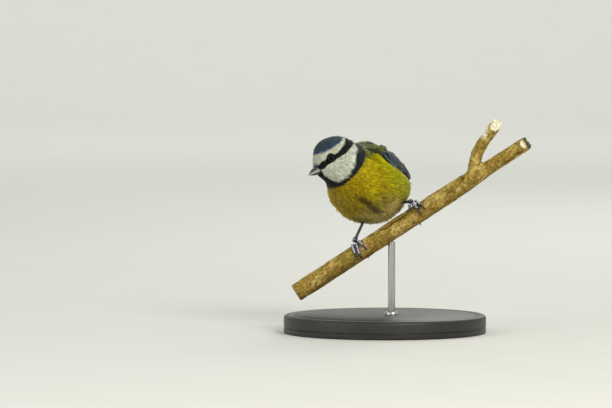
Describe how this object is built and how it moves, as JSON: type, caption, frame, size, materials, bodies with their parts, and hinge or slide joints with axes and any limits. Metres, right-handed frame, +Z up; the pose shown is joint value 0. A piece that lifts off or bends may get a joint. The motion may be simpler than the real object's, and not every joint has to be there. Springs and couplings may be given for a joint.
{
  "type": "blue tit display model",
  "caption": "Life-size still model of a blue tit that grips a cut length of sloping branch, held up by a rod on a round base.",
  "frame": {"origin": "centre of the stand's flat underside", "axes": "+Z up; +X to the right in the picture, along the branch's rise; +Y away from its viewer, so the bird faces -Y with its head turned towards -X"},
  "size_m": [0.1106, 0.125, 0.0957],
  "materials": {
    "head_feathers": "soft feathers, blue cap with white cheeks",
    "neck_feathers": "soft feathers, blue-black collar",
    "body_feathers": "soft feathers, olive back and yellow underside",
    "wing_feathers": "stiff feathers, blue with a white bar",
    "tail_feathers": "stiff feathers, slate blue",
    "foot_scales": "blue-grey scales",
    "claw_horn": "dark horn",
    "bill_horn": "dark blue-grey horn with pale cutting edges",
    "eye": "wet near-black",
    "bark": "thin yellow-brown bark with fine specks",
    "stand_lacquer": "satin black lacquer",
    "stand_steel": "brushed"
  },
  "bodies": {
    "root": {"bill_lower": "bill_horn", "bill_upper": "bill_horn", "branch": "bark", "claw_left_1": "claw_horn", "claw_left_2": "claw_horn", "claw_left_3": "claw_horn", "claw_left_4": "claw_horn", "claw_right_1": "claw_horn", "claw_right_2": "claw_horn", "claw_right_3": "claw_horn", "claw_right_4": "claw_horn", "eye_left": "eye", "eye_right": "eye", "head": "head_feathers", "leg_left": "foot_scales", "leg_right": "foot_scales", "neck": "neck_feathers", "side_shoot": "bark", "stand_base": "stand_lacquer", "stand_rod": "stand_steel", "tail": "tail_feathers", "toe_left_1": "foot_scales", "toe_left_2": "foot_scales", "toe_left_3": "foot_scales", "toe_left_4": "foot_scales", "toe_right_1": "foot_scales", "toe_right_2": "foot_scales", "toe_right_3": "foot_scales", "toe_right_4": "foot_scales", "trunk": "body_feathers", "wing_left": "wing_feathers", "wing_right": "wing_feathers"}
  },
  "joints": []
}
